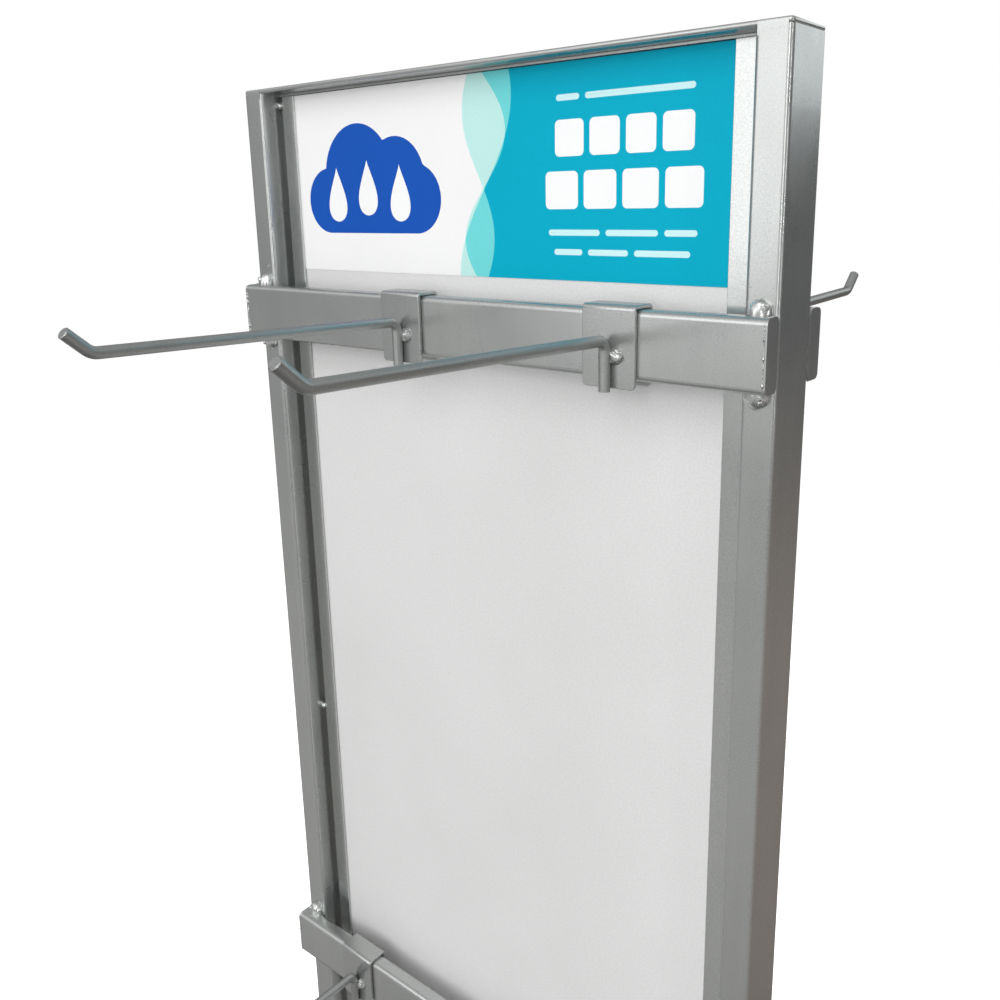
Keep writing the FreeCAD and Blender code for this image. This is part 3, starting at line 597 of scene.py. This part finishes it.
def build_crossbar_welds():
    """Domed weld dabs above and below each crossbar where it crosses an upright."""
    work = bmesh.new()
    dice = random.Random(5)
    seed = 0
    for face, outward in FACES.items():
        for level in LEVELS:
            low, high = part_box(f"{face}_{level}_crossbar")
            for side in SIDES.values():
                for above, edge in ((1, high.z), (-1, low.z)):
                    seed += 1
                    height = edge + above * DAB_RISE[above]
                    middle = Vector((side * (UPRIGHT_X - DAB_INWARD), outward * FRAME_Y, height))
                    centre = middle + Vector((0, outward * DAB_PROUD, 0))
                    lump(work, centre, DAB_RADII[above], seed, rough=0.08, ripple=0.012, detail=4)
                    across, out, up = CRATER_SHIFT
                    crater = centre + Vector((side * across, outward * out, above * up)) * MM
                    lump(work, crater, CRATER_RADII, seed + 0.5, rough=0.2)
                    spots = []
                    for _ in range(DAB_SPATTER):
                        beside = dice.uniform(-SPATTER_ACROSS, SPATTER_ACROSS)
                        away = dice.uniform(SPATTER_NEAR, SPATTER_FAR)
                        spots.append(middle + Vector((beside, 0, above * away)) * MM)
                    spatter(work, spots, dice)
    piece = new_piece("crossbar_weld_beads", work, "frame", [MATERIALS["weld_metal"]])
    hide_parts("crossbar_welds")


BAR_CORNER = 3.4 * MM
SEAM_RADIUS, SPECK_RADIUS = 0.25, 0.75
SPECK_PITCH, SPECK_GAIN, SPECK_START = 330, 1.9, 0.14


def bar_outline(low, high, x, corner, steps=6, run=66):
    """Points round a crossbar's section at one place along it."""
    points = []
    corners = [(high.y - corner, high.z - corner, 0), (low.y + corner, high.z - corner, 90),
               (low.y + corner, low.z + corner, 180), (high.y - corner, low.z + corner, 270)]
    for number, (y, z, start) in enumerate(corners):
        for step in range(steps + 1):
            angle = math.radians(start + 90 * step / steps)
            points.append(Vector((x, y + corner * math.cos(angle), z + corner * math.sin(angle))))
        next_y, next_z, next_start = corners[(number + 1) % 4]
        angle = math.radians(next_start)
        target = Vector((x, next_y + corner * math.cos(angle), next_z + corner * math.sin(angle)))
        origin = points[-1]
        pieces = run if number % 2 else run // 3
        points += [origin.lerp(target, step / pieces) for step in range(1, pieces)]
    return points


def build_end_seams():
    """The ground weld round each crossbar's end plate: nearly flush, with a few rough specks left."""
    work = bmesh.new()
    seed = 0
    for face in FACES:
        for level in LEVELS:
            low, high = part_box(f"{face}_{level}_crossbar")
            for x in (low.x, high.x):
                seed += 1
                path = bar_outline(low, high, x, BAR_CORNER)

                def radius_at(index, path=path, seed=seed):
                    point = path[index] * SPECK_PITCH + Vector((seed * 5.1, seed * 2.3, 0))
                    rough = noise.noise(point) + 0.6 * noise.noise(point * 2.7)
                    speck = min(SPECK_RADIUS, SPECK_GAIN * max(0.0, rough - SPECK_START))
                    return (SEAM_RADIUS + speck) * MM

                bead_along(work, path, radius_at, closed=True, segments=8)
    new_piece("crossbar_end_seams", work, "frame", [MATERIALS["weld_metal"]])


TACK_FIRST, TACK_PITCH, TACK_COUNT = 6.0 * MM, 473.0 * MM, 4
TACK_SUNK = 0.4 * MM
TACK_RADII = Vector((3.1, 2.4, 2.7)) * MM
TACK_END_SHIFT = (2.4, 0.9, 1.4)
TACK_END_RADII = Vector((1.5, 1.3, 1.6)) * MM


def build_tack_welds():
    """Round beads that tie the side channels to the uprights, at four heights on both faces."""
    work = bmesh.new()
    seed = 100
    for side in SIDES.values():
        for outward in FACES.values():
            for step in range(TACK_COUNT):
                seed += 1
                height = channel_high.z - TACK_FIRST - step * TACK_PITCH
                middle = side * (CHANNEL_X + INNER_X) / 2
                centre = Vector((middle, outward * (CHANNEL_Y - TACK_SUNK), height))
                lump(work, centre, TACK_RADII, seed, rough=0.16)
                across, out, up = TACK_END_SHIFT
                shift = Vector((side * across, outward * out, up)) * MM
                lump(work, centre + shift, TACK_END_RADII, seed + 0.5, rough=0.2)
    piece = new_piece("channel_tack_beads", work, "frame", [MATERIALS["weld_metal"]])
    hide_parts("channel_tack_welds")


def straight_bead(work, start, end, radius, seed):
    """A run of weld ripples between two points, rounded off at both ends."""
    pitch, rings_per_ripple = 1.7 * MM, 6
    ripple_share, uneven_share, uneven_scale = 0.09, 0.08, 300
    length = (end - start).length
    count = max(12, int(length / (pitch / rings_per_ripple)))
    path = [start.lerp(end, index / count) for index in range(count + 1)]

    def radius_at(index):
        along = length * index / count
        fade = min(1.0, math.sqrt(max(0.02, min(along, length - along) / radius)))
        ripple = 1 + ripple_share * math.sin(2 * math.pi * along / pitch)
        uneven = 1 + uneven_share * noise.noise(Vector((along * uneven_scale, seed, 0)))
        return radius * fade * ripple * uneven

    bead_along(work, path, radius_at, closed=False, segments=14)


def build_joint_welds():
    """Fillet beads where the uprights stand on the feet and where the bottom rail meets the uprights."""
    work = bmesh.new()
    foot_radius, proud = 3.0 * MM, 0.9 * MM
    reach = TUBE_WIDTH / 2 - 2.2 * MM
    for side in SIDES.values():
        for outward in FACES.values():
            start = Vector((side * UPRIGHT_X - reach, outward * (FRAME_Y + proud), FOOT_TOP + proud))
            straight_bead(work, start, start + Vector((2 * reach, 0, 0)), foot_radius, side + outward)
    piece = new_piece("foot_weld_beads", work, "frame", [MATERIALS["weld_metal"]])
    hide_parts("foot_welds")
    work = bmesh.new()
    rail_radius, past_edge, off_face = 2.2 * MM, 0.3 * MM, 0.5 * MM
    reach = FRAME_Y - 3.5 * MM
    for side in SIDES.values():
        for height in (rail_low.z - past_edge, rail_high.z + past_edge):
            start = Vector((side * (INNER_X - off_face), -reach, height))
            straight_bead(work, start, start + Vector((0, 2 * reach, 0)), rail_radius, side * height * 9)
    new_piece("bottom_rail_weld_beads", work, "frame", [MATERIALS["weld_metal"]])


def build_cap_patches():
    """The weld between cap bar and upright, ground flush on the front and rear faces of each upright."""
    work = bmesh.new()
    proud, sunk, radius, steps = 0.05 * MM, 1.6 * MM, 1.0 * MM, 6
    upper, lower, ripple_below = 0.04 * MM, 7.0 * MM, 4 * MM
    profile = [(-0.05 * MM, lower), (0.5 * proud, 5.0 * MM), (proud, 3.4 * MM)]
    for step in range(steps + 1):
        turn = math.radians(90 * step / steps)
        out = proud - radius + radius * math.cos(turn)
        profile.append((out, upper + radius - radius * math.sin(turn)))
    profile += [(-sunk, upper), (-sunk, lower)]
    start, end, pieces = INNER_X + 1.3 * MM, HALF_WIDTH - 2.3 * MM, 24
    for side in SIDES.values():
        for outward in FACES.values():
            rings = []
            for piece in range(pieces + 1):
                x = side * (start + (end - start) * piece / pieces)
                uneven = 0.03 * MM * noise.noise(Vector((x * 260, outward * 3.0, 0)))
                ring = []
                for out, drop in profile:
                    y = outward * (FRAME_Y + out + (uneven if drop < ripple_below else 0))
                    ring.append(work.verts.new((x, y, TOP - drop)))
                rings.append(ring)
            join_rings(work, rings)
    new_piece("cap_corner_patches", work, "frame", [MATERIALS["frame_steel"]], crease=50.0)


# Lumps at a hook's weld, in millimetres: across from the wire's middle, drop below the saddle's top,
# radii along X, outward and up, and roughness. The first is the main blob, the last the other side's.
HOOK_BLOBS = (
    (4.6, 27.4, (5.1, 3.4, 4.7), 0.24),
    (6.6, 25.0, (2.0, 2.9, 2.2), 0.30),
    (3.4, 30.2, (1.9, 2.6, 1.8), 0.30),
    (-3.3, 28.9, (2.6, 2.6, 4.3), 0.20),
)
BLOB_SUNK = 0.2 * MM
HOOK_SPATTER = 5
HOOK_SPATTER_NEAR, HOOK_SPATTER_FAR = 6.5, 10.5


def build_hook_welds():
    """The bright blob where each wire is welded to its saddle, and the smaller one on its other side."""
    seed = 40
    dice = random.Random(11)
    for face, outward in FACES.items():
        for level in LEVELS:
            for side in SIDES:
                seed += 1
                name = f"{face}_{level}_{side}_hook"
                low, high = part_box(f"{name}_saddle")
                middle = (low.x + high.x) / 2
                front = outward * (max(abs(low.y), abs(high.y)) - BLOB_SUNK)
                work = bmesh.new()
                centres = [
                    Vector((middle - outward * across * MM, front, high.z - drop * MM))
                    for across, drop, _, _ in HOOK_BLOBS
                ]
                for centre, (across, _, radii, rough) in zip(centres, HOOK_BLOBS):
                    lump(work, centre, Vector(radii) * MM, seed + across, rough)
                turns = [dice.uniform(0, 2 * math.pi) for _ in range(HOOK_SPATTER)]
                spots = []
                for turn in turns:
                    away = dice.uniform(HOOK_SPATTER_NEAR, HOOK_SPATTER_FAR) * MM
                    spots.append(centres[0] + away * Vector((math.cos(turn), 0, math.sin(turn))))
                spatter(work, spots, dice)
                new_piece(f"{name}_weld", work, name, [MATERIALS["weld_metal"]])


# Levellers --------------------------------------------------------------------------------------

THREAD_PITCH = 1.25 * MM
THREAD_DEPTH = 0.72 * MM
THREAD_LEAD_IN = 1.2 * MM
STUD_RADIUS = 4.0 * MM
HEXAGON_HALF_FLATS = 6.5 * MM
HEXAGON_HEIGHT = 4.0 * MM
HEXAGON_PROFILE = ((0.0, 0.93), (0.09, 1.0), (0.91, 1.0), (1.0, 0.93))  # share of height, of width
PAD_CROWN = 10.0 * MM
FLUTES = 32
FLUTE_DEPTH = 0.5 * MM


def turned_ring(work, middle, height, reaches):
    """A ring of vertices round a vertical axis, from (reach, angle) pairs."""
    return [
        work.verts.new((middle.x + reach * math.cos(angle), middle.y + reach * math.sin(angle), height))
        for reach, angle in reaches
    ]


def build_stud(name, node, body):
    """A threaded stud with a chamfered hexagon at its foot."""
    low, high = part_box(node)
    middle = (low + high) / 2
    work = bmesh.new()
    steps, rings_per_turn = 32, 8
    rings = []
    count = int((high.z - low.z) / THREAD_PITCH * rings_per_turn)
    for index in range(count + 1):
        height = low.z + (high.z - low.z) * index / count
        start = min(1.0, (high.z - height) / THREAD_LEAD_IN)
        reaches = []
        for step in range(steps):
            turn = step / steps
            phase = (height / THREAD_PITCH - turn) % 1
            groove = abs(2 * phase - 1)
            reaches.append((STUD_RADIUS - THREAD_DEPTH * max(groove, 1 - start), 2 * math.pi * turn))
        rings.append(turned_ring(work, middle, height, reaches))
    join_rings(work, rings)
    half_corners = HEXAGON_HALF_FLATS / math.cos(math.radians(30))
    rings = []
    for share, scale in HEXAGON_PROFILE:
        reaches = [(half_corners * scale, math.radians(60 * step + 30)) for step in range(6)]
        rings.append(turned_ring(work, middle, low.z + HEXAGON_HEIGHT * share, reaches))
    join_rings(work, rings)
    piece = new_piece(name, work, body, [MATERIALS["zinc_steel"]], crease=34.0)
    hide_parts(node)


def build_pad(name, node, body):
    """A moulded pad: a flat base, a fluted rim and a sloping crown with a raised collar."""
    low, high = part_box(node)
    middle = (low + high) / 2
    rim = (high.x - low.x) / 2
    height = high.z - low.z
    profile = [  # reach, height, share of the flutes' depth
        (rim - 1.6 * MM, 0.0, 0.0), (rim - 0.5 * MM, 0.4 * MM, 0.0), (rim, 1.3 * MM, 1.0),
        (rim, 3.4 * MM, 1.0), (rim - 0.6 * MM, 4.2 * MM, 0.3), (rim - 1.8 * MM, 4.6 * MM, 0.0),
        (PAD_CROWN + 1.6 * MM, height - 1.5 * MM, 0.0), (PAD_CROWN + 1.0 * MM, height - 0.4 * MM, 0.0),
        (PAD_CROWN + 0.2 * MM, height, 0.0), (PAD_CROWN - 1.6 * MM, height, 0.0)]
    steps = 256
    work = bmesh.new()
    rings = []
    for reach, level, fluted in profile:
        reaches = []
        for step in range(steps):
            angle = 2 * math.pi * step / steps
            groove = max(0.0, math.cos(FLUTES * angle)) ** 2
            reaches.append((reach - fluted * FLUTE_DEPTH * groove, angle))
        rings.append(turned_ring(work, middle, low.z + level, reaches))
    join_rings(work, rings)
    piece = new_piece(name, work, body, [MATERIALS["black_plastic"]])
    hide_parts(node)


def build_levellers():
    """A threaded stud and a moulded pad for each of the four levelling feet."""
    for face in FACES:
        for side in SIDES:
            body = f"{face}_{side}_leveller"
            build_stud(f"{body}_threaded_stud", f"{body}_stud", body)
            build_pad(f"{body}_moulded_pad", f"{body}_pad", body)


# Stage ------------------------------------------------------------------------------------------

# Colours of the studio around the stand, as seen in its reflections
WALL_BEHIND = (0.128, 0.132, 0.134)
WALL_LEFT = (0.24, 0.24, 0.24)
WALL_FRONT = (0.46, 0.46, 0.46)
CEILING_BEHIND = (0.47, 0.47, 0.465)
CEILING_FRONT = (1.0, 1.0, 1.0)
FLOOR_FRONT = (0.47, 0.465, 0.46)
FLOOR_BEHIND = (0.34, 0.295, 0.27)
UNDERNEATH = (0.13, 0.13, 0.13)
TOWARD_FRONT = Vector((-0.42, -0.91, 0.0))
# Heights over which one part of the studio fades into the next, from straight down (0) to up (1)
UNDERNEATH_FADE, FLOOR_FADE, CEILING_FADE = (0.06, 0.18), (0.30, 0.44), (0.55, 0.74)
NEUTRAL = (1.0, 1.0, 1.0)
FLOOR_HALF_SIZE = 9.0

SOFTBOXES = {
    # name: (place, aim, width, height, power, colour)
    "front_left": ((-0.86, -2.1, 1.98), (0.0, 0.0, 1.5), 1.1, 1.4, 5.9, NEUTRAL),
    "behind_right": ((1.1, 2.6, 2.42), (0.1, 0.0, 1.5), 1.5, 1.15, 7.2, (0.94, 0.98, 1.0)),
    "front_strip": ((0.95, -2.35, 1.95), (0.0, 0.0, 1.5), 0.3, 1.6, 9.0, NEUTRAL),
    "front_fill": ((0.9, -2.3, 1.9), (0.0, 0.0, 1.4), 0.6, 1.6, 16.0, NEUTRAL),
    "behind_fill": ((-0.7, 2.6, 2.3), (0.0, 0.0, 0.9), 2.0, 1.6, 60.0, NEUTRAL),
    "side_strip": ((2.3, -0.75, 1.75), (0.0, 0.0, 1.5), 0.14, 1.3, 4.0, NEUTRAL),
    "overhead_front": ((0.7, -1.9, 3.5), (0.0, 0.0, 1.4), 2.0, 1.3, 17.0, NEUTRAL),
}


def build_floor():
    """A plain pale floor."""
    work = bmesh.new()
    bmesh.ops.create_grid(work, x_segments=8, y_segments=8, size=FLOOR_HALF_SIZE)
    mesh = bpy.data.meshes.new("floor")
    work.to_mesh(mesh)
    work.free()
    floor = bpy.data.objects.new("floor", mesh)
    bpy.context.scene.collection.objects.link(floor)
    surface = Material("pale_floor", Roughness=0.7, Specular_IOR_Level=0.2, Emission_Strength=0.62)
    surface.shader.inputs["Emission Color"].default_value = (1, 1, 1, 1)
    tone = surface.noise(scale=3)
    surface.drive("Base Color", surface.colours(tone, [(0.3, grey(0.86)), (0.7, grey(0.90))]))
    mesh.materials.append(surface.material)
    floor.visible_glossy = False
    floor.visible_diffuse = False


def build_world():
    """Soft even light: a bright ceiling, dimmer walls, darkest behind to the right; white to the camera."""
    world = bpy.data.worlds.new("studio")
    bpy.context.scene.world = world
    world.use_nodes = True
    world.node_tree.nodes.clear()
    sky = Tree(world.node_tree)
    direction = sky.node("ShaderNodeTexCoord").outputs["Generated"]
    split = sky.node("ShaderNodeSeparateXYZ")
    sky.link(direction, split.inputs["Vector"])
    facing = sky.node("ShaderNodeVectorMath", operation="DOT_PRODUCT")
    facing.inputs[1].default_value = TOWARD_FRONT
    sky.link(direction, facing.inputs[0])
    front = sky.spread(facing.outputs["Value"], 0, 1, -1, 1)
    height = sky.spread(split.outputs["Z"], 0, 1, -1, 1)
    black, white = (0, 0, 0), (1, 1, 1)
    walls = sky.colours(front, [(0.0, WALL_BEHIND), (0.5, WALL_LEFT), (0.85, WALL_LEFT), (1.0, WALL_FRONT)])
    floor = sky.colours(front, [(0.15, FLOOR_BEHIND), (0.75, FLOOR_FRONT)])
    ceiling = sky.colours(front, [(0.70, CEILING_BEHIND), (0.92, CEILING_FRONT)])

    def fade(span, first, last):
        return sky.colours(height, [(span[0], first), (span[1], last)])

    room = sky.mix(fade(FLOOR_FADE, white, black), walls, floor)
    room = sky.mix(fade(CEILING_FADE, black, white), room, ceiling)
    room = sky.mix(fade(UNDERNEATH_FADE, white, black), room, UNDERNEATH)
    lit, backdrop = sky.node("ShaderNodeBackground"), sky.node("ShaderNodeBackground")
    sky.link(room, lit.inputs["Color"])
    backdrop.inputs["Color"].default_value = (1, 1, 1, 1)
    choose = sky.node("ShaderNodeMixShader")
    sky.link(sky.node("ShaderNodeLightPath").outputs["Is Camera Ray"], choose.inputs["Fac"])
    sky.link(lit.outputs["Background"], choose.inputs[1])
    sky.link(backdrop.outputs["Background"], choose.inputs[2])
    sky.link(choose.outputs["Shader"], sky.node("ShaderNodeOutputWorld").inputs["Surface"])


def build_lights():
    """Rectangular softboxes, each aimed at a point of the stand; a fill stays out of reflections."""
    for name, (place, aim, width, height, power, colour) in SOFTBOXES.items():
        light = bpy.data.lights.new(name, "AREA")
        light.shape = "RECTANGLE"
        light.size, light.size_y = width, height
        light.energy = power
        light.color = colour
        item = bpy.data.objects.new(name, light)
        item.location = place
        item.rotation_euler = (Vector(aim) - Vector(place)).to_track_quat("-Z", "Y").to_euler()
        item.visible_camera = False
        item.visible_glossy = not name.endswith("_fill")
        bpy.context.scene.collection.objects.link(item)


def build_camera():
    """The viewpoint: close to the header, to the right and a little below the top of the frame."""
    heading, elevation, roll = math.radians(39.34), math.radians(-14.08), math.radians(-0.99)
    sensor, focal_share = 36.0, 0.971
    camera = bpy.data.cameras.new("camera")
    camera.sensor_width = sensor
    camera.lens = focal_share * sensor
    camera.shift_x = -0.0214
    camera.shift_y = -0.0541
    camera.clip_start = 0.02
    item = bpy.data.objects.new("camera", camera)
    place = Vector((0.4086, -0.4646, TOP - 0.0803))
    turn = (Matrix.Rotation(heading, 4, "Z") @ Matrix.Rotation(math.radians(90) + elevation, 4, "X")
            @ Matrix.Rotation(roll, 4, "Z"))
    item.matrix_world = Matrix.Translation(place) @ turn
    bpy.context.scene.collection.objects.link(item)
    bpy.context.scene.camera = item


finish_cad_nodes()
build_header_prints()
build_cap_bar()
build_crossbar_welds()
build_end_seams()
build_tack_welds()
build_joint_welds()
build_cap_patches()
build_hook_welds()
build_levellers()
build_floor()
build_world()
build_lights()
build_camera()
bpy.context.scene.view_settings.view_transform = "Standard"
